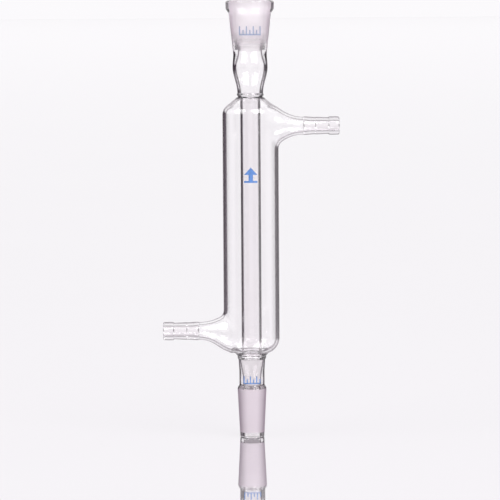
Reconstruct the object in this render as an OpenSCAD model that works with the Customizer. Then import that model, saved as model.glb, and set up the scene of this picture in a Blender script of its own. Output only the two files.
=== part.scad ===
// Liebig condenser with a water jacket, two ground-glass 14/23 joints and two barbed hose nozzles.
// Millimetres. +Z is up along the vapour tube, +X points along the upper (outlet) nozzle.
// The origin is on the tube's axis, at the bottom end of the lower cone.

/* [Taper joints] */
// Large-end diameter of both ground tapers
joint_d = 14.5; // [12:0.1:16]
// Ground length of the lower cone
cone_ground = 22; // [18:0.5:24]
// Ground length of the upper socket
socket_ground = 23; // [18:0.5:24]
// Diameter lost per millimetre of ground length
joint_taper = 0.1; // [0.05:0.01:0.12]
// Bore at the tip of the lower cone
cone_bore_d = 9; // [8:0.1:9.4]
// Length of the clear, fire-polished tip below the cone
tip_h = 2.5; // [1.5:0.1:4]

/* [Vapour tube] */
// Outer diameter of the condenser tube
tube_d = 10; // [9.4:0.1:10.6]
// Wall of the condenser tube
tube_wall = 0.7; // [0.6:0.05:1.1]

/* [Jacket] */
// Outer diameter of the water jacket
jacket_d = 28; // [26:0.5:32]
// Wall of the water jacket
jacket_wall = 1.2; // [0.9:0.05:1.5]
// Height where the jacket's straight wall begins
jacket_z0 = 50; // [48:0.5:52]
// Length of the jacket's straight wall
jacket_h = 111.6; // [90:0.1:160]

/* [Hose nozzles] */
// Height of the inlet nozzle above the jacket's lower end
inlet_rise = 3.5; // [3:0.5:30]
// Drop of the outlet nozzle below the jacket's upper end
outlet_drop = 5.6; // [4:0.1:30]
// Distance from the tube's axis to a nozzle's end
nozzle_reach = 44.3; // [43:0.1:60]
// Bore of a nozzle
nozzle_bore_d = 5; // [4:0.1:5.4]
// Diameter over the crests of the barbs
barb_d = 9.2; // [8.8:0.1:9.6]

/* [Head] */
// Widest diameter of the bulb under the socket
bulb_d = 17.5; // [16:0.1:19]
// Diameter of the socket's rim
rim_d = 24.2; // [22:0.1:26]

/* [Printed marks] */
// Thickness of the enamel
print_t = 0.06; // [0.04:0.01:0.1]
// Width of a line in the size marks
stroke = 0.5; // [0.3:0.05:0.7]

/* [Hidden] */
$fn = 96;

// Radii of the fused tubes
tube_r = tube_d / 2;
tube_ri = tube_r - tube_wall;
jacket_r = jacket_d / 2;
jacket_ri = jacket_r - jacket_wall;
stem_r = 6.3;
stem_ri = 6;
neck_r = 6.4;
neck_ri = 5.3;

// Heights, from the bench up
cone_z1 = tip_h + cone_ground;
stem_z1 = cone_z1 + 7.5;
jacket_z1 = jacket_z0 + jacket_h;
inlet_z = jacket_z0 + inlet_rise;
outlet_z = jacket_z1 - outlet_drop;

// Lower ring seal: it joins the stem at lo_z0, the shoulder at lo_out and the tube at lo_z1
lo_arc = 8;
lo_sweep = 71;
lo_out = [jacket_r - lo_arc + lo_arc * cos(lo_sweep), jacket_z0 - lo_arc * sin(lo_sweep)];
lo_in = [lo_out[0] - jacket_wall * cos(lo_sweep), lo_out[1] + jacket_wall * sin(lo_sweep)];
lo_z0 = 39.2;
lo_z1 = 42.4;

// Upper ring seal: it joins the shoulder at hi_out, the tube at hi_z0 and the neck at hi_z1
hi_arc = 6;
hi_sweep = 52;
hi_end_r = 7.75;
hi_knee = [jacket_r - hi_arc + hi_arc * cos(hi_sweep), jacket_z1 + hi_arc * sin(hi_sweep)];
hi_out = [hi_end_r, hi_knee[1] + (hi_knee[0] - hi_end_r) / tan(hi_sweep)];
hi_in = hi_out - jacket_wall * [cos(hi_sweep), sin(hi_sweep)];
hi_z0 = hi_out[1] - 0.6;
hi_z1 = hi_out[1] + 3;

// Socket heights
bulb_z = hi_z1 + 13.1;
waist_z = bulb_z + 6.3;
ground_z0 = waist_z + 2.4;
ground_z1 = ground_z0 + socket_ground;
rim_z = ground_z1 + 1.2;

// Nozzle stations, measured from the tube's axis
weld_x = 26.2;
barb_x = [26.6, 32.6, 39];
land = 1.2;
flare_r = 17;
flare_wall = 1.3;
nozzle_r = 4.4;
foot_r = 8.6;
foot_ri = foot_r - flare_wall;

// Points of an arc from angle a0 to a1
function arc(c, r, a0, a1, n = 10) = [for (i = [0:n]) let (a = a0 + (a1 - a0) * i / n) c + r * [cos(a), sin(a)]];
// Points of a smooth step from radius r0 at height z0 to r1 at z1
function ease(r0, z0, r1, z1, n = 10) =
    [for (i = [0:n]) [r0 + (r1 - r0) * (1 - cos(180 * i / n)) / 2, z0 + (z1 - z0) * i / n]];
// A list of points backwards
function back(p) = [for (i = [len(p) - 1:-1:0]) p[i]];

// A solid of revolution about +Z between an outer and an inner outline, both given from low to high
module turned(outer, inner) {
    rotate_extrude() polygon(concat(outer, back(inner)));
}

// The same about a nozzle's axis, pointing along +X at height z, or along -X when side is -1
module turned_x(z, side, outer, inner) {
    translate([0, 0, z]) rotate([0, side * 90, 0]) turned(outer, inner);
}

// Outer outline of the whole jacket, closed down to the axis, for cutting what stands on it
module jacket_envelope() {
    rotate_extrude() polygon(concat(
        [[0, lo_out[1]]], back(arc([jacket_r - lo_arc, jacket_z0], lo_arc, 0, -lo_sweep)),
        arc([jacket_r - hi_arc, jacket_z1], hi_arc, 0, hi_sweep), [hi_out, [0, hi_out[1]]]
    ));
}

// The flared throat of a side arm, as outlines from the jacket out to the weld with the nozzle
function flare(r, foot) =
    let (dx = sqrt(pow(r, 2) - pow(nozzle_r + flare_r - foot, 2)), a1 = asin(dx / r))
    concat([[foot, 8]], [for (i = [0:8]) let (a = a1 * (1 - i / 8))
        [nozzle_r + flare_r - r * cos(a), weld_x - r * sin(a)]]);

module throat_void(z, side) {
    turned_x(z, side, flare(flare_r + flare_wall, foot_ri), [[0, 8], [0, weld_x]]);
}

module side_seal(z, side) {
    color("azure") difference() {
        turned_x(z, side, flare(flare_r, foot_r), flare(flare_r + flare_wall, foot_ri));
        jacket_envelope();
    }
}

// A hose nozzle with three barbs. The first and last have a short land at the full crest diameter, and
// each falls away towards the tip.
module nozzle(z, side) {
    crest = barb_d / 2;
    low = crest - 0.2;
    root = crest - 0.5;
    bore = nozzle_bore_d / 2;
    step = 0.22;
    lip = 0.75;
    color("azure") turned_x(z, side,
        concat(
            [[nozzle_r, weld_x], [nozzle_r - 0.1, barb_x[0] - step]],
            [[crest, barb_x[0] + step], [crest, barb_x[0] + land], [low - 0.15, barb_x[1] - step]],
            [[low, barb_x[1]], [root, barb_x[2] - step]],
            [[crest, barb_x[2] + step], [crest, barb_x[2] + 2.6 * land]],
            arc([crest - 0.1 - lip, nozzle_reach - lip], lip, 0, 90, 6)
        ),
        concat(
            [[nozzle_r - flare_wall, weld_x], [bore, weld_x + 3]],
            back(arc([bore + lip / 3, nozzle_reach - lip / 3], lip / 3, 90, 180, 4))
        ));
}

// Upper joint blank: neck, bulb, tapered socket and rolled rim in one piece of glass
module ground_socket() {
    mouth_r = joint_d / 2;
    small_r = mouth_r - socket_ground * joint_taper / 2;
    waist_r = 8.35;
    wall_top = [10.5, ground_z1 - 5.9];
    rim_r = rim_d / 2;
    color("azure") turned(
        concat(
            ease(neck_r, hi_z1, bulb_d / 2, bulb_z, 12), ease(bulb_d / 2, bulb_z, waist_r, waist_z, 6),
            ease(wall_top[0], wall_top[1], rim_r, ground_z1 - 2.2, 6),
            arc([rim_r - 1.3, rim_z - 1.3], 1.3, 0, 90, 8)
        ),
        concat(
            ease(neck_ri, hi_z1, bulb_d / 2 - 1, bulb_z, 12), ease(bulb_d / 2 - 1, bulb_z, small_r, ground_z0, 8),
            [[mouth_r, ground_z1], [mouth_r + 0.5, rim_z - 0.4], [mouth_r + 1, rim_z]]
        ));
}

// Ring of fused glass that closes the jacket's top round the tube and carries the neck
module upper_ring_seal() {
    groove = [neck_r - 0.25, hi_z1 - 1.8];
    bead = [neck_r + 0.3, hi_z1 - 0.9];
    color("azure") turned(
        concat([[tube_r, hi_z0]], arc([tube_r + 0.9, hi_z0], 0.9, 180, 90, 5), [hi_in, hi_out],
            [hi_out + [-0.75, 0.75]], ease(groove[0], groove[1], bead[0], bead[1], 5),
            ease(bead[0], bead[1] + 0.2, neck_r, hi_z1, 4)),
        ease(tube_ri, hi_z0, neck_ri, hi_z1, 8));
}

module condenser_tube() {
    color("azure") difference() {
        translate([0, 0, lo_z1]) cylinder(r = tube_r, h = hi_z0 - lo_z1);
        translate([0, 0, lo_z1 - 1]) cylinder(r = tube_ri, h = hi_z0 - lo_z1 + 2);
    }
}

// Ring of fused glass that closes the jacket's foot round the tube and carries the stem
module lower_ring_seal() {
    bead_r = 7.1;
    stem_top_r = 6.65;
    color("azure") turned(
        concat([[stem_top_r, lo_z0]], arc([bead_r - 0.4, lo_z0 + 0.5], 0.4, -60, 0, 4),
            [[bead_r + 0.15, lo_z0 + 1.8], lo_out, lo_in],
            arc([tube_r + 0.9, lo_z1], 0.9, 270, 180, 5)),
        ease(stem_ri, lo_z0, tube_ri, lo_z1, 8));
}

// Lower joint blank: tapered cone with a clear tip and the stem above it
module ground_cone() {
    big_r = joint_d / 2;
    small_r = big_r - cone_ground * joint_taper / 2;
    tip_r = small_r - 0.1;
    bore = cone_bore_d / 2;
    lip = 0.5;
    color("gainsboro") turned(
        concat(
            arc([tip_r - lip, lip], lip, -90, 0, 6), [[small_r, tip_h], [big_r, cone_z1]],
            ease(big_r - 0.15, cone_z1 + 0.25, stem_r, cone_z1 + 2.1, 6),
            ease(stem_r, stem_z1, 6.65, lo_z0, 6)
        ),
        concat(
            back(arc([bore + lip, lip], lip, 180, 270, 6)),
            [[bore + 0.1, cone_z1 + 2]], ease(bore + 0.1, cone_z1 + 4, stem_ri, lo_z0, 8)
        ));
}

module jacket_tube() {
    color("aliceblue") difference() {
        translate([0, 0, jacket_z0]) cylinder(r = jacket_r, h = jacket_h);
        translate([0, 0, jacket_z0 - 1]) cylinder(r = jacket_ri, h = jacket_h + 2);
        throat_void(outlet_z, 1);
        throat_void(inlet_z, -1);
    }
}

module upper_shoulder() {
    c = [jacket_r - hi_arc, jacket_z1];
    color("aliceblue") difference() {
        turned(
            concat(arc(c, hi_arc, 0, hi_sweep, 8), [hi_out]),
            concat(arc(c, hi_arc - jacket_wall, 0, hi_sweep, 8), [hi_in]));
        throat_void(outlet_z, 1);
    }
}

module lower_shoulder() {
    c = [jacket_r - lo_arc, jacket_z0];
    color("aliceblue") difference() {
        turned(back(arc(c, lo_arc, 0, -lo_sweep)), back(arc(c, lo_arc - jacket_wall, 0, -lo_sweep)));
        throat_void(inlet_z, -1);
    }
}

// A flat drawing in X and height, wrapped on the front of a turned surface as enamel. r0 and r1 are the
// surface's radii at heights z0 and z1.
module print_on(r0, z0, r1, z1) {
    color("royalblue") intersection() {
        turned([[r0 + print_t, z0], [r1 + print_t, z1]], [[r0, z0], [r1, z1]]);
        rotate([90, 0, 0]) linear_extrude(height = 40) children();
    }
}

// A plain comb of thin upright ticks on a base line, centred on the origin, as a neutral size mark
module comb(w, h, ticks) {
    pitch = (w - stroke) / (ticks - 1);
    polygon(concat(
        [[w / 2, -h / 2], [-w / 2, -h / 2]],
        [for (i = [0:ticks - 1], k = [0:3])
            let (x = -w / 2 + i * pitch, top = i % 2 == 0 ? h / 2 : 0.1 * h)
            [x + (k < 2 ? 0 : stroke), k == 0 || k == 3 ? stroke - h / 2 : top]]
    ));
}

// An upward arrow standing on a bar, for the way the cooling water flows
module arrow(w, h) {
    half = w / 2;
    stem = w / 6;
    foot = 0.13 * h;
    neck = 0.02 * h;
    polygon([
        [-half, -h / 2], [half, -h / 2], [half, foot - h / 2], [stem, foot - h / 2], [stem, neck],
        [half, neck], [0, h / 2], [-half, neck], [-stem, neck], [-stem, foot - h / 2], [-half, foot - h / 2]
    ]);
}

module socket_size_mark() {
    z0 = waist_z;
    z1 = ground_z1 - 5.9;
    print_on(8.35, z0, 10.5, z1) translate([0, ground_z0 + 9.2]) comb(10.6, 4.4, 7);
}

module flow_mark() {
    print_on(jacket_r, jacket_z0 + 70, jacket_r, jacket_z0 + 95)
        translate([0, jacket_z0 + 82.2]) arrow(6.6, 7.6);
}

module cone_size_mark() {
    print_on(stem_r, cone_z1 + 2.2, stem_r, stem_z1)
        translate([0, cone_z1 + 4.7]) comb(8.4, 3.9, 6);
}

ground_socket();
upper_ring_seal();
condenser_tube();
lower_ring_seal();
ground_cone();
upper_shoulder();
jacket_tube();
lower_shoulder();
side_seal(outlet_z, 1);  // outlet_seal
nozzle(outlet_z, 1);  // outlet_nozzle
side_seal(inlet_z, -1);  // inlet_seal
nozzle(inlet_z, -1);  // inlet_nozzle
socket_size_mark();
flow_mark();
cone_size_mark();
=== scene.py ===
"""Liebig condenser in clear borosilicate glass: closed glass solids that meet at hidden welds, two ground
joints and three enamel marks, standing on a pale glossy floor."""

import math

import bpy
import numpy as np
from mathutils import Matrix, Vector


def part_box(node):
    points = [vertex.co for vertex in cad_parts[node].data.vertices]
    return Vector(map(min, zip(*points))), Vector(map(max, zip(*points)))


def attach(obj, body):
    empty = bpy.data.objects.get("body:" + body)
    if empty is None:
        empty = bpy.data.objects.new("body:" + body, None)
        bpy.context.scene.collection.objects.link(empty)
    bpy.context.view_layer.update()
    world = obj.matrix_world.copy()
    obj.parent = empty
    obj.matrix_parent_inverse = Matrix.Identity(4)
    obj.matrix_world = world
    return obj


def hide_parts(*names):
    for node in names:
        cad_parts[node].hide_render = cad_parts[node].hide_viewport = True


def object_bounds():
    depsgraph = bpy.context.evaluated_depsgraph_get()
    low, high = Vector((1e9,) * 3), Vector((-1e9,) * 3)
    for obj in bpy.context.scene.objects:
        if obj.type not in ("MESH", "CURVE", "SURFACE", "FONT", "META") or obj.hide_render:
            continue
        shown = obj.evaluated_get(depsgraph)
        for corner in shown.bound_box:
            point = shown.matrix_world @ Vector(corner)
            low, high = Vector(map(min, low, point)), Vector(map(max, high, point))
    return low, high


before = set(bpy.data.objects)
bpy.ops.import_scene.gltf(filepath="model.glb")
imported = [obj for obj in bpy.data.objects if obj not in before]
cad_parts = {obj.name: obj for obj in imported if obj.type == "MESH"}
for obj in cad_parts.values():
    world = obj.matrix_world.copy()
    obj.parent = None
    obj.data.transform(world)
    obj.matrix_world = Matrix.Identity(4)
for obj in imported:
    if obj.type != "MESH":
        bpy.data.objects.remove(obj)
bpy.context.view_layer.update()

MM = 0.001
AROUND = 128  # segments round the main axis
SHARP = math.radians(28)  # edges that turn by more than this stay crisp
CLEAR, GROUND, WELD, PALE = 0, 1, 2, 3  # material slots of a glass piece
GLASS_IOR = 1.47


# ---------------------------------------------------------------- sizes, in millimetres, from the frame
def low(node, axis):
    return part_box(node)[0][axis] / MM


def high(node, axis):
    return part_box(node)[1][axis] / MM


tube_r = high("condenser_tube", 0)
tube_wall = 0.7
tube_z0, tube_z1 = low("condenser_tube", 2), high("condenser_tube", 2)

jacket_r = high("jacket_tube", 1)
jacket_wall = 1.2
jacket_z0, jacket_z1 = low("jacket_tube", 2), high("jacket_tube", 2)
foot_arc, foot_sweep = 8.0, math.radians(71)  # rounded lower shoulder
head_arc, head_sweep = 6.0, math.radians(52)  # upper shoulder: a round, then a cone
head_end_r = 7.75  # where the cone meets the upper ring

stem_z1 = high("ground_cone", 2)
neck_z0 = low("ground_socket", 2)
rim_z = high("ground_socket", 2)
rim_r = high("ground_socket", 0)

outlet_z = (low("outlet_nozzle", 2) + high("outlet_nozzle", 2)) / 2
inlet_z = (low("inlet_nozzle", 2) + high("inlet_nozzle", 2)) / 2
barb_r = (high("outlet_nozzle", 2) - low("outlet_nozzle", 2)) / 2
weld_x, tip_x = low("outlet_nozzle", 0), high("outlet_nozzle", 0)
nozzle_r, nozzle_wall, nozzle_bore = 4.4, 1.3, 2.5
barb_x = (26.6, 32.6, 39.0)  # where each barb's crest or step starts, from the tube's axis
throat_arc = 17.0  # radius of a flare's sweep from the nozzle to the jacket
throat_foot = 8.6  # the flare's radius where it meets the jacket
throat_blend = 3.0  # how far the flare and the jacket melt into each other
foot_blend = 2.0  # how far the flare's sweep melts into its foot

joint_r, joint_taper = 7.25, 0.05  # large end of both ground tapers, and radius lost per mm
tip_h, cone_ground = 2.5, 22.0
stem_r, stem_top_r, stem_bore_top, cone_bore = 6.3, 6.65, 6.0, 4.5
bulb_r, waist_r, neck_r, neck_bore = 8.75, 8.35, 6.4, 5.3
socket_ground, mouth_h = 23.0, 1.2  # length of the ground taper, and the plain mouth above it
fillet_r = 0.9  # round between the vapour tube and a fused ring


# ---------------------------------------------------------------- outlines
def arc(cx, cy, r, a0, a1, n):
    """Points of a circle's arc, angles in degrees."""
    angles = np.radians(np.linspace(a0, a1, n + 1))
    return [(cx + r * math.cos(a), cy + r * math.sin(a)) for a in angles]


def ease(r0, z0, r1, z1, n=16):
    """A smooth step from radius r0 at z0 to r1 at z1."""
    return [
        (r0 + (r1 - r0) * (1 - math.cos(math.pi * t)) / 2, z0 + (z1 - z0) * t)
        for t in np.linspace(0, 1, n + 1)
    ]


def side(points, kind=CLEAR):
    """Outline points with the finish of the face that follows each of them."""
    return [(r, z, kind) for r, z in points]


def end_with(points, kind):
    """The same outline with another finish on the face that follows its last point."""
    return points[:-1] + [(*points[-1][:2], kind)]


# ---------------------------------------------------------------- meshes
def make_piece(name, verts, faces, kinds, mats, slot, replaces):
    """A smooth mesh, in metres, that rides on the root body. kinds gives each face its material."""
    mesh = bpy.data.meshes.new(name)
    mesh.from_pydata([tuple(v) for v in np.asarray(verts) * MM], [], faces)
    for m in mats:
        mesh.materials.append(m)
    mesh.polygons.foreach_set("material_index", np.asarray(kinds, np.int32))
    mesh.polygons.foreach_set("use_smooth", np.ones(len(faces), bool))
    mesh.update()
    mesh.set_sharp_from_angle(angle=SHARP)
    ob = bpy.data.objects.new(name, mesh)
    bpy.context.scene.collection.objects.link(ob)
    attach(ob, "root")
    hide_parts(*replaces)
    return ob


def turn(loop, around=AROUND, turned=None):
    """Revolves a closed outline about Z: up the outside, down the inside. turned moves the points after."""
    angles = np.arange(around) * 2 * math.pi / around
    verts = np.array([
        (r * math.cos(a), r * math.sin(a), z) for r, z, _ in loop for a in angles
    ])
    faces, kinds = [], []
    for i, (_, _, kind) in enumerate(loop):
        j = (i + 1) % len(loop)
        for s in range(around):
            t = (s + 1) % around
            faces.append((i * around + s, i * around + t, j * around + t, j * around + s))
            kinds.append(kind)
    return (turned(verts) if turned else verts), faces, kinds


def along_x(z, sign):
    """Turns points from the Z axis to a nozzle's axis at height z, pointing along +X or -X."""

    def move(v):
        return np.column_stack([sign * v[:, 2], v[:, 1], z - sign * v[:, 0]])

    return move


# ---------------------------------------------------------------- the jacket: one skin with two flared arms
def shoulder_points():
    """Length along the jacket's outline, from its lower end, and a function from length to (r, z)."""
    foot_len = foot_arc * foot_sweep
    wall_len = jacket_z1 - jacket_z0
    head_len = head_arc * head_sweep
    knee = (
        jacket_r - head_arc * (1 - math.cos(head_sweep)),
        jacket_z1 + head_arc * math.sin(head_sweep),
    )
    cone_len = (knee[0] - head_end_r) / math.sin(head_sweep)

    def at(s):
        if s < foot_len:
            a = foot_sweep - s / foot_arc
            return (
                jacket_r - foot_arc * (1 - math.cos(a)),
                jacket_z0 - foot_arc * math.sin(a),
            )
        s -= foot_len
        if s < wall_len:
            return jacket_r, jacket_z0 + s
        s -= wall_len
        if s < head_len:
            a = s / head_arc
            return (
                jacket_r - head_arc * (1 - math.cos(a)),
                jacket_z1 + head_arc * math.sin(a),
            )
        s -= head_len
        return knee[0] - s * math.sin(head_sweep), knee[1] + s * math.cos(head_sweep)

    return foot_len, foot_len + wall_len + head_len + cone_len, at


def smooth_min(a, b, k):
    h = np.clip(k - np.abs(a - b), 0, None) / k
    return np.minimum(a, b) - h * h * k / 4


def jacket_distance(p):
    """Signed distance to the jacket's outside, without its arms."""
    r, z = np.hypot(p[:, 0], p[:, 1]), p[:, 2]
    foot = np.hypot(r - (jacket_r - foot_arc), z - jacket_z0) - foot_arc
    hr, hz = r - (jacket_r - head_arc), z - jacket_z1
    head = np.where(
        hz * math.cos(head_sweep) > hr * math.sin(head_sweep),
        hr * math.cos(head_sweep) + hz * math.sin(head_sweep) - head_arc,
        np.hypot(hr, hz) - head_arc,
    )
    return np.where(z < jacket_z0, foot, np.where(z > jacket_z1, head, r - jacket_r))


def arm_distance(p, z, sign, droop):
    """Signed distance to a flared arm. droop lowers its foot, as a hand-made weld does."""
    x = p[:, 0] * sign
    sag = droop * np.clip((weld_x - x) / (weld_x - jacket_r), 0, 1.3) ** 2
    rho = np.hypot(p[:, 1], p[:, 2] - z + sag)
    sweep = throat_arc - np.hypot(x - weld_x, rho - nozzle_r - throat_arc)
    return -smooth_min(-sweep, throat_foot - rho, foot_blend)


ARMS = ((outlet_z, 1, 0.0), (inlet_z, -1, 1.1))


def body_distance(p):
    d = jacket_distance(p)
    for z, sign, droop in ARMS:
        arm = arm_distance(p, z, sign, droop)
        d = np.where(p[:, 0] * sign > 0, smooth_min(d, arm, throat_blend), d)
    return d


def gradient(p, h=0.02):
    g = np.empty_like(p)
    for i in range(3):
        step = np.zeros(3)
        step[i] = h
        g[:, i] = (body_distance(p + step) - body_distance(p - step)) / (2 * h)
    return g / np.linalg.norm(g, axis=1)[:, None]


def onto_body(p, times=4):
    for _ in range(times):
        p = p - gradient(p) * body_distance(p)[:, None]
    return p


def jacket_mesh():
    n = 40  # cells along each side of the square hole round an arm
    half = 12.0  # half that hole's height along the outline, mm
    m = 34  # rows from the hole's edge to the nozzle's weld
    foot_len, total, outline = shoulder_points()
    centres = [foot_len + z - jacket_z0 for z, _, _ in ARMS]
    s_in, s_out = centres[1], centres[0]
    s = np.concatenate([
        np.linspace(0, s_in - half, 4)[:-1],
        np.linspace(s_in - half, s_in + half, n + 1),
        np.linspace(s_in + half, s_out - half, 14)[1:-1],
        np.linspace(s_out - half, s_out + half, n + 1),
        np.linspace(s_out + half, total, 7)[1:],
    ])
    rz = np.array([outline(v) for v in s])
    a = np.arange(AROUND) * 2 * math.pi / AROUND
    grid = np.stack([
        rz[:, :1] * np.cos(a), rz[:, :1] * np.sin(a), np.repeat(rz[:, 1:], AROUND, 1)
    ], -1)
    rows = len(s)
    verts = [grid.reshape(-1, 3)]
    count = rows * AROUND
    cut = np.zeros((rows, AROUND), bool)
    faces, rings, fixed = [], [], {}
    for (z, sign, droop), centre in zip(ARMS, centres):
        i0 = int(np.argmin(np.abs(s - (centre - half))))
        j0 = (0 if sign > 0 else AROUND // 2) - n // 2
        around = [(i0, j0 + k) for k in range(n)]
        around += [(i0 + k, j0 + n) for k in range(n)]
        around += [(i0 + n, j0 + n - k) for k in range(n)]
        around += [(i0 + n - k, j0) for k in range(n)]
        for i in range(n):
            cut[i0 + i, [(j0 + k) % AROUND for k in range(n)]] = True
        edge = np.array([grid[i, j % AROUND] for i, j in around])
        side_yz = edge[:, 1:] - [0, z]
        unit = side_yz / np.linalg.norm(side_yz, axis=1)[:, None]
        weld = np.column_stack([np.full(4 * n, sign * weld_x), nozzle_r * unit + [0, z]])
        t = np.linspace(0, 1, m + 1)[:, None, None]
        path = edge + (weld - edge) * t
        path[..., 1:] = [0, z] + side_yz * (1 - t) ** 1.6 + nozzle_r * unit * (1 - (1 - t) ** 1.6)
        for _ in range(60):
            inner = (path[:-2] + path[2:]) / 2
            path[1:-1] = onto_body(inner.reshape(-1, 3), 2).reshape(inner.shape)
        verts.append(path[1:].reshape(-1, 3))
        ids = [[i * AROUND + j % AROUND for i, j in around]]
        ids += [[count + k * 4 * n + q for q in range(4 * n)] for k in range(m)]
        for k in range(m):
            for q in range(4 * n):
                w = (q + 1) % (4 * n)
                faces.append((ids[k][q], ids[k][w], ids[k + 1][w], ids[k + 1][q]))
        rings.append(ids[-1])
        fixed[len(rings) - 1] = (count + (m - 1) * 4 * n, 4 * n)
        count += m * 4 * n
    for i in range(rows - 1):
        for j in range(AROUND):
            if not cut[i, j]:
                k = (j + 1) % AROUND
                faces.append((i * AROUND + j, i * AROUND + k, (i + 1) * AROUND + k, (i + 1) * AROUND + j))
    outer = np.vstack(verts)
    normal = gradient(outer)
    foot_n = [math.cos(foot_sweep), -math.sin(foot_sweep)]
    for i, (nr, nz) in ((0, foot_n), (rows - 1, (math.cos(head_sweep), math.sin(head_sweep)))):
        ring = slice(i * AROUND, (i + 1) * AROUND)
        normal[ring] = np.column_stack([nr * np.cos(a), nr * np.sin(a), np.full(AROUND, nz)])
    for (z, sign, _), ring in zip(ARMS, rings):
        d = outer[ring] - [0, 0, z]
        d[:, 0] = 0
        normal[ring] = d / np.linalg.norm(d, axis=1)[:, None]
    out = np.clip((np.abs(outer[:, 0]) - jacket_r) / (weld_x - jacket_r), 0, 1)
    wall = jacket_wall + (nozzle_wall - jacket_wall) * out
    inner = outer - normal * wall[:, None]
    size = len(outer)
    used = sorted({v for f in faces for v in f})
    number = {v: k for k, v in enumerate(used)}
    number.update({v + size: k + len(used) for k, v in enumerate(used)})
    all_faces = list(faces) + [tuple(v + size for v in reversed(f)) for f in faces]
    kinds = [CLEAR] * len(all_faces)
    top = [(rows - 1) * AROUND + j for j in range(AROUND)]
    bottom = [AROUND - 1 - j for j in range(AROUND)]
    for ring in (top, bottom, *rings):
        for q, v in enumerate(ring):
            w = ring[(q + 1) % len(ring)]
            all_faces.append((v, w, w + size, v + size))
            kinds.append(WELD)
    points = np.vstack([outer[used], inner[used]])
    return points, [tuple(number[v] for v in f) for f in all_faces], kinds


# ---------------------------------------------------------------- the other glass blanks
def jacket_ends():
    """Outer and inner corner of the jacket's wall at its lower end, then at its upper end."""
    _, total, outline = shoulder_points()
    r0, z0 = outline(0)
    r1, z1 = outline(total)
    return (
        (r0, z0),
        (r0 - jacket_wall * math.cos(foot_sweep), z0 + jacket_wall * math.sin(foot_sweep)),
        (r1, z1),
        (r1 - jacket_wall * math.cos(head_sweep), z1 - jacket_wall * math.sin(head_sweep)),
    )


def tube_loop():
    bore = tube_r - tube_wall
    return [
        (tube_r, tube_z0, CLEAR), (tube_r, tube_z1, WELD), (bore, tube_z1, CLEAR), (bore, tube_z0, WELD)
    ]


def upper_ring_loop():
    _, _, shoulder, inside = jacket_ends()
    fillet = arc(tube_r + fillet_r, tube_z1, fillet_r, 180, 90, 8)
    groove_r, bead_r = neck_r - 0.25, neck_r + 0.3
    outside = [(shoulder[0] - 0.75, shoulder[1] + 0.75)]
    outside += ease(groove_r, neck_z0 - 1.8, bead_r, neck_z0 - 0.9, 6)
    outside += ease(bead_r, neck_z0 - 0.7, neck_r, neck_z0, 5)
    bore = ease(tube_r - tube_wall, tube_z1, neck_bore, neck_z0, 12)
    return (
        side(fillet)
        + [(*inside, WELD), (*shoulder, CLEAR)]
        + end_with(side(outside), WELD)
        + end_with(side(bore[::-1]), WELD)
    )


def lower_ring_loop():
    shoulder, inside, _, _ = jacket_ends()
    fillet = arc(tube_r + fillet_r, tube_z0, fillet_r, 270, 180, 8)
    bead_r, round_r = 7.1, 0.4
    bead = arc(bead_r - round_r, stem_z1 + 0.5, round_r, -60, 0, 6)
    bore = ease(stem_bore_top, stem_z1, tube_r - tube_wall, tube_z0, 12)
    return (
        [(stem_top_r, stem_z1, CLEAR)]
        + side(bead)
        + [(bead_r + 0.15, stem_z1 + 1.8, CLEAR), (*shoulder, WELD), (*inside, CLEAR)]
        + end_with(side(fillet), WELD)
        + end_with(side(bore[::-1]), WELD)
    )


def cone_loop():
    small_r = joint_r - joint_taper * cone_ground
    ground_z = tip_h + cone_ground
    lip = 0.5
    outside = arc(small_r - 0.1 - lip, lip, lip, -90, 0, 8)
    shoulder = ease(joint_r - 0.15, ground_z + 0.25, stem_r, ground_z + 2.1, 8)
    stem = ease(stem_r, ground_z + 7.5, stem_top_r, stem_z1, 8)
    bore_top = cone_bore + 0.1
    bore = [(bore_top, ground_z + 2)] + ease(bore_top, ground_z + 4, stem_bore_top, stem_z1, 12)
    lip_in = arc(cone_bore + lip, lip, lip, 180, 270, 8)
    return (
        side(outside)
        + [(small_r, tip_h, GROUND), (joint_r, ground_z, CLEAR)]
        + side(shoulder)
        + end_with(side(stem), WELD)
        + side(bore[::-1])
        + side(lip_in)
    )


def socket_loop():
    ground_z1 = rim_z - mouth_h
    ground_z0 = ground_z1 - socket_ground
    bulb_z = neck_z0 + 13.1
    waist_z = bulb_z + 6.3
    small_r = joint_r - joint_taper * socket_ground
    bulb = ease(neck_r, neck_z0, bulb_r, bulb_z, 20) + ease(bulb_r, bulb_z, waist_r, waist_z, 10)[1:]
    outside = [(waist_r + 0.13, waist_z + 1.2)] + ease(10.5, ground_z1 - 5.9, rim_r, ground_z1 - 2.2, 12)
    lip = 1.3
    outside += arc(rim_r - lip, rim_z - lip, lip, 0, 90, 10)[1:]
    bulb_bore = bulb_r - 1
    bore = ease(neck_bore, neck_z0, bulb_bore, bulb_z, 20)
    bore += ease(bulb_bore, bulb_z, small_r, ground_z0, 12)[1:]
    mouth = [(joint_r, ground_z1), (joint_r + 0.5, rim_z - 0.4), (joint_r + 1, rim_z)]
    return (
        side(bulb)
        + side(outside, PALE)
        + side(mouth[::-1][:-1], PALE)
        + [(*mouth[0], GROUND)]
        + end_with(side(bore[::-1]), WELD)
    )


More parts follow.
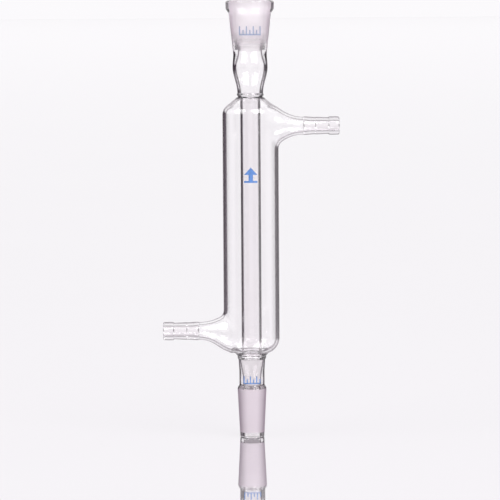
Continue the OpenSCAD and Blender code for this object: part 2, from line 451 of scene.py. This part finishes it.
def nozzle_loop():
    crest, land = barb_r, 1.2
    low_r, root = crest - 0.2, crest - 0.5
    b1, b2, b3 = barb_x
    step, lip = 0.22, 0.75
    outside = [
        (nozzle_r, weld_x), (nozzle_r - 0.1, b1 - step), (crest, b1 + step), (crest, b1 + land),
        (low_r - 0.15, b2 - step), (low_r, b2),
        (root, b3 - step), (crest, b3 + step), (crest, b3 + 2.6 * land),
    ] + arc(crest - 0.1 - lip, tip_x - lip, lip, 0, 90, 8)
    inside = arc(nozzle_bore + lip / 3, tip_x - lip / 3, lip / 3, 90, 180, 5)
    inside += [(nozzle_bore, weld_x + 3), (nozzle_r - nozzle_wall, weld_x)]
    return side(outside) + end_with(side(inside), WELD)


# ---------------------------------------------------------------- materials
def new_material(name):
    m = bpy.data.materials.new(name)
    m.use_nodes = True
    nt = m.node_tree
    return m, nt, nt.nodes["Principled BSDF"], nt.nodes["Material Output"]


def node(nt, kind, **values):
    """A new node. A value whose name the node has as a setting goes there, and any other to that input."""
    n = nt.nodes.new(kind)
    for key, value in values.items():
        if hasattr(n, key):
            setattr(n, key, value)
        else:
            n.inputs[key.replace("_", " ")].default_value = value
    return n


def cords(nt, shader, strength):
    """Faint streaks along the tube, left by drawing the glass."""
    place = node(nt, "ShaderNodeTexCoord")
    stretch = node(nt, "ShaderNodeMapping")
    stretch.inputs["Scale"].default_value = (1.0, 1.0, 0.06)
    noise = node(nt, "ShaderNodeTexNoise", Scale=420.0, Detail=2.0)
    bump = node(nt, "ShaderNodeBump", Strength=strength, Distance=0.0001)
    nt.links.new(place.outputs["Object"], stretch.inputs["Vector"])
    nt.links.new(stretch.outputs["Vector"], noise.inputs["Vector"])
    nt.links.new(noise.outputs["Fac"], bump.inputs["Height"])
    nt.links.new(bump.outputs["Normal"], shader.inputs["Normal"])


def clear_glass(name, start, end, clear, dark):
    """Clear glass with painted shade: its walls darken to plum where seen edge on, from facing value start
    to end, standing in for the dark rims that bent light gives glass.
    """
    m, nt, shader, _ = new_material(name)
    shader.inputs["Transmission Weight"].default_value = 1
    shader.inputs["Roughness"].default_value = 0.0
    shader.inputs["IOR"].default_value = GLASS_IOR
    # painted shade: the facing ramp darkens the glass's colour towards its edges
    edge = node(nt, "ShaderNodeLayerWeight", Blend=0.5)
    ramp = node(nt, "ShaderNodeValToRGB")
    ramp.color_ramp.elements[0].position = start
    ramp.color_ramp.elements[0].color = (*clear, 1)
    ramp.color_ramp.elements[1].position = end
    ramp.color_ramp.elements[1].color = (*dark, 1)
    nt.links.new(edge.outputs["Facing"], ramp.inputs["Fac"])
    nt.links.new(ramp.outputs["Color"], shader.inputs["Base Color"])
    cords(nt, shader, 0.04)
    return m


def ground_glass(name, middle, edge_shade, milk_share, fade=None):
    """Finely ground glass: mostly clouded, with a soft grain, and painted shade that greys it where it turns
    away from the eye.
    From the second height in fade down to the first, in metres, the grinding runs out into clear glass."""
    m, nt, shader, out = new_material(name)
    shader.inputs["Transmission Weight"].default_value = 1
    shader.inputs["IOR"].default_value = GLASS_IOR
    place = node(nt, "ShaderNodeTexCoord")
    grain = node(nt, "ShaderNodeTexNoise", Scale=2600.0, Detail=3.0)
    rough = node(nt, "ShaderNodeMapRange", From_Min=0.3, From_Max=0.7, To_Min=0.4, To_Max=0.55)
    bump = node(nt, "ShaderNodeBump", Strength=0.3, Distance=0.00005)
    # painted shade: the facing ramp greys the ground glass towards its sides
    edge = node(nt, "ShaderNodeLayerWeight", Blend=0.5)
    ramp = node(nt, "ShaderNodeValToRGB")
    ramp.color_ramp.elements[0].position = 0.08
    ramp.color_ramp.elements[0].color = (*middle, 1)
    ramp.color_ramp.elements[1].position = 0.55
    ramp.color_ramp.elements[1].color = (*edge_shade, 1)
    haze = node(nt, "ShaderNodeBsdfTranslucent")
    cloud = node(nt, "ShaderNodeBsdfDiffuse")
    milk = node(nt, "ShaderNodeMixShader", Fac=0.25)
    mix = node(nt, "ShaderNodeMixShader", Fac=milk_share)
    nt.links.new(place.outputs["Object"], grain.inputs["Vector"])
    nt.links.new(grain.outputs["Fac"], rough.inputs["Value"])
    nt.links.new(rough.outputs["Result"], shader.inputs["Roughness"])
    nt.links.new(grain.outputs["Fac"], bump.inputs["Height"])
    nt.links.new(edge.outputs["Facing"], ramp.inputs["Fac"])
    for part, socket in ((shader, "Base Color"), (haze, "Color"), (cloud, "Color")):
        nt.links.new(bump.outputs["Normal"], part.inputs["Normal"])
        nt.links.new(ramp.outputs["Color"], part.inputs[socket])
    nt.links.new(cloud.outputs["BSDF"], milk.inputs[1])
    nt.links.new(haze.outputs["BSDF"], milk.inputs[2])
    nt.links.new(shader.outputs["BSDF"], mix.inputs[1])
    nt.links.new(milk.outputs["Shader"], mix.inputs[2])
    nt.links.new(mix.outputs["Shader"], out.inputs["Surface"])
    if fade:
        height = node(nt, "ShaderNodeSeparateXYZ")
        ground = node(nt, "ShaderNodeMapRange", From_Min=fade[0], From_Max=fade[1])
        cloudy = node(nt, "ShaderNodeMath", operation="MULTIPLY")
        cloudy.inputs[1].default_value = milk_share
        matt = node(nt, "ShaderNodeMath", operation="MULTIPLY")
        nt.links.new(place.outputs["Object"], height.inputs["Vector"])
        nt.links.new(height.outputs["Z"], ground.inputs["Value"])
        nt.links.new(ground.outputs["Result"], cloudy.inputs[0])
        nt.links.new(cloudy.outputs["Value"], mix.inputs["Fac"])
        nt.links.new(ground.outputs["Result"], matt.inputs[0])
        nt.links.new(rough.outputs["Result"], matt.inputs[1])
        nt.links.new(matt.outputs["Value"], shader.inputs["Roughness"])
    return m


def weld():
    """Where two blanks are fused there is no surface, so light goes straight through."""
    m, nt, shader, out = new_material("weld")
    nt.nodes.remove(shader)
    clear = node(nt, "ShaderNodeBsdfTransparent")
    nt.links.new(clear.outputs["BSDF"], out.inputs["Surface"])
    return m


def enamel(name, colour):
    """Fired print: a slightly uneven satin film."""
    m, nt, shader, _ = new_material(name)
    place = node(nt, "ShaderNodeTexCoord")
    noise = node(nt, "ShaderNodeTexNoise", Scale=900.0, Detail=4.0)
    ramp = node(nt, "ShaderNodeValToRGB")
    ramp.color_ramp.elements[0].position = 0.3
    ramp.color_ramp.elements[0].color = (*(0.75 * c for c in colour), 1)
    ramp.color_ramp.elements[1].position = 0.7
    ramp.color_ramp.elements[1].color = (*(min(1, 1.25 * c) for c in colour), 1)
    shader.inputs["Roughness"].default_value = 0.4
    nt.links.new(place.outputs["Object"], noise.inputs["Vector"])
    nt.links.new(noise.outputs["Fac"], ramp.inputs["Fac"])
    nt.links.new(ramp.outputs["Color"], shader.inputs["Base Color"])
    return m


# the last colour of each glass is painted shade along its edges
jacket_glass = clear_glass("jacket_glass", 0.60, 0.69, (0.995, 0.988, 0.994), (0.16, 0.13, 0.15))
tube_glass = clear_glass("tube_glass", 0.52, 0.60, (0.995, 0.982, 0.99), (0.06, 0.045, 0.055))
blank_glass = clear_glass("blank_glass", 0.49, 0.56, (0.98, 0.97, 0.978), (0.03, 0.02, 0.03))
stem_glass = clear_glass("stem_glass", 0.49, 0.56, (0.9, 0.88, 0.89), (0.03, 0.02, 0.03))
socket_glass = clear_glass("socket_glass", 0.50, 0.75, (0.965, 0.95, 0.96), (0.72, 0.64, 0.7))
nozzle_glass = clear_glass("nozzle_glass", 0.52, 0.66, (0.965, 0.95, 0.96), (0.12, 0.1, 0.115))
ground_end = rim_z - mouth_h - socket_ground
run_out = 9.0  # length over which the socket's grinding fades, mm
# the second colour of each ground glass is painted shade on its sides
frosted = ground_glass(
    "ground_socket_glass", (0.91, 0.88, 0.9), (0.73, 0.66, 0.715), 0.9,
    fade=(ground_end * MM, (ground_end + run_out) * MM),
)
frosted_cone = ground_glass("ground_cone_glass", (0.6, 0.54, 0.585), (0.32, 0.265, 0.31), 0.8)
fused = weld()

# ---------------------------------------------------------------- the condenser
make_piece(
    "jacket", *jacket_mesh(), [jacket_glass, frosted, fused], "clear_glass",
    ["jacket_tube", "upper_shoulder", "lower_shoulder", "outlet_seal", "inlet_seal"],
)
blanks = (
    ("vapour_tube", tube_loop(), [tube_glass, frosted, fused], "clear_glass", "condenser_tube"),
    ("upper_ring", upper_ring_loop(), [blank_glass, frosted, fused], "clear_glass", "upper_ring_seal"),
    ("lower_ring", lower_ring_loop(), [blank_glass, frosted, fused], "clear_glass", "lower_ring_seal"),
    ("cone", cone_loop(), [stem_glass, frosted_cone, fused], "ground_glass", "ground_cone"),
    ("socket", socket_loop(), [blank_glass, frosted, fused, socket_glass], "clear_glass", "ground_socket"),
)
for name, loop, mats, slot, stands_for in blanks:
    make_piece(name, *turn(loop), mats, slot, [stands_for])
for name, z, sign in (("outlet", outlet_z, 1), ("inlet", inlet_z, -1)):
    make_piece(
        name + "_barbs", *turn(nozzle_loop(), 96, along_x(z, sign)), [nozzle_glass, frosted, fused],
        "clear_glass", [name + "_nozzle"],
    )

blue = enamel("enamel_blue", (0.06, 0.14, 0.34))
slate = enamel("enamel_slate", (0.16, 0.2, 0.32))
for mark, material in (("socket_size_mark", slate), ("flow_mark", blue), ("cone_size_mark", blue)):
    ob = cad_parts[mark]
    ob.data.materials.clear()
    ob.data.materials.append(material)

# ---------------------------------------------------------------- stage, light and camera
scene = bpy.context.scene
lowest = Vector(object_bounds()[0])
floor_gap = 0.0001  # keeps the floor clear of the tip's rim, m


def floor():
    m, nt, shader, _ = new_material("floor_gloss")
    place = node(nt, "ShaderNodeTexCoord")
    noise = node(nt, "ShaderNodeTexNoise", Scale=3.0, Detail=2.0)
    ramp = node(nt, "ShaderNodeValToRGB")
    ramp.color_ramp.elements[0].color = (0.79, 0.775, 0.795, 1)
    ramp.color_ramp.elements[1].color = (0.82, 0.805, 0.825, 1)
    nt.links.new(place.outputs["Object"], noise.inputs["Vector"])
    nt.links.new(noise.outputs["Fac"], ramp.inputs["Fac"])
    nt.links.new(ramp.outputs["Color"], shader.inputs["Base Color"])
    shader.inputs["Roughness"].default_value = 0.03
    shader.inputs["Metallic"].default_value = 0.85
    mesh = bpy.data.meshes.new("floor")
    half = 60.0
    corners = [(-half, -half, 0), (half, -half, 0), (half, half, 0), (-half, half, 0)]
    mesh.from_pydata(corners, [], [(0, 1, 2, 3)])
    mesh.materials.append(m)
    ob = bpy.data.objects.new("floor", mesh)
    ob.location.z = lowest.z - floor_gap
    scene.collection.objects.link(ob)


floor()


def studio():
    """White backdrops on all four sides, a little brighter at -Y, and a dimmer dome overhead. Low dark flags
    between the sides, all but the +X and -Y ones, draw the glass's edges."""
    world = bpy.data.worlds.new("studio")
    scene.world = world
    world.use_nodes = True
    nt = world.node_tree
    sky = nt.nodes["Background"]
    where = node(nt, "ShaderNodeTexCoord")
    split = node(nt, "ShaderNodeSeparateXYZ")
    nt.links.new(where.outputs["Generated"], split.inputs["Vector"])
    turn_angle = node(nt, "ShaderNodeMath", operation="ARCTAN2")
    nt.links.new(split.outputs["X"], turn_angle.inputs[0])
    nt.links.new(split.outputs["Y"], turn_angle.inputs[1])
    share = node(nt, "ShaderNodeMapRange", From_Min=-math.pi, From_Max=math.pi)
    nt.links.new(turn_angle.outputs["Value"], share.inputs["Value"])
    flags = node(nt, "ShaderNodeValToRGB")
    ramp = flags.color_ramp
    white, bright = (0.485, 0.478, 0.488, 1), (0.52, 0.512, 0.522, 1)
    left_dark, right_dark = (0.05, 0.04, 0.05, 1), (0.1, 0.095, 0.1, 1)
    stops = [
        (-160, bright), (-145, left_dark), (-112, left_dark), (-104, white), (-76, white), (-68, left_dark),
        (-21, left_dark), (-12, white), (12, white), (21, right_dark), (70, right_dark), (85, white),
        (110, white), (130, bright),
    ]
    while len(ramp.elements) > 1:
        ramp.elements.remove(ramp.elements[-1])
    for k, (degrees, colour) in enumerate(stops):
        stop = ramp.elements[0] if k == 0 else ramp.elements.new((degrees + 180) / 360)
        stop.position = (degrees + 180) / 360
        stop.color = colour
    nt.links.new(share.outputs["Result"], flags.inputs["Fac"])
    above = node(nt, "ShaderNodeMapRange", From_Min=0.1, From_Max=0.2)
    nt.links.new(split.outputs["Z"], above.inputs["Value"])
    dome = node(nt, "ShaderNodeMapRange", From_Min=0.6, From_Max=0.85)
    nt.links.new(split.outputs["Z"], dome.inputs["Value"])
    upper = node(nt, "ShaderNodeMix", data_type="RGBA")
    nt.links.new(dome.outputs["Result"], upper.inputs["Factor"])
    air = node(nt, "ShaderNodeValToRGB")
    air.color_ramp.elements[0].position, air.color_ramp.elements[0].color = 0.25, white
    air.color_ramp.elements[1].position, air.color_ramp.elements[1].color = 0.45, bright
    behind = node(nt, "ShaderNodeMath", operation="MULTIPLY")
    behind.inputs[1].default_value = -1
    nt.links.new(split.outputs["Y"], behind.inputs[0])
    nt.links.new(behind.outputs["Value"], air.inputs["Fac"])
    nt.links.new(air.outputs["Color"], upper.inputs["A"])
    upper.inputs["B"].default_value = (0.27, 0.262, 0.27, 1)
    mix = node(nt, "ShaderNodeMix", data_type="RGBA")
    nt.links.new(above.outputs["Result"], mix.inputs["Factor"])
    nt.links.new(flags.outputs["Color"], mix.inputs["A"])
    nt.links.new(upper.outputs["Result"], mix.inputs["B"])
    nt.links.new(mix.outputs["Result"], sky.inputs["Color"])
    sky.inputs["Strength"].default_value = 2.0


studio()


def area(name, where, size, power, target=(0, 0, 0.1)):
    data = bpy.data.lights.new(name, "AREA")
    data.shape = "RECTANGLE"
    data.size = data.size_y = size
    data.energy = power
    ob = bpy.data.objects.new(name, data)
    ob.location = where
    ob.rotation_euler = (Vector(target) - Vector(where)).to_track_quat("-Z", "Y").to_euler()
    scene.collection.objects.link(ob)


area("key", (1.2, -1.6, 2.0), 2.0, 85.0)
area("fill", (-1.8, -1.2, 2.0), 2.0, 60.0)

camera_data = bpy.data.cameras.new("camera")
camera = bpy.data.objects.new("camera", camera_data)
scene.collection.objects.link(camera)
scene.camera = camera
distance, camera_z = 1.5, 0.215
seen = 0.25  # width and height that the frame covers at the axis
aim = Vector((-0.0006, 0, 0.094))
camera.location = (0.0, -distance, camera_z)
direction = aim - camera.location
reach = direction.length
camera_data.sensor_width = 36
camera_data.lens = 36 / seen * reach
camera_data.clip_end = 200
lean = math.radians(-0.36)
turn_to = direction.to_track_quat("-Z", "Y").to_matrix().to_4x4()
camera.matrix_world = (
    Matrix.Translation(camera.location)
    @ turn_to
    @ Matrix.Rotation(lean, 4, "Z")
)
scene.view_settings.view_transform = "Standard"
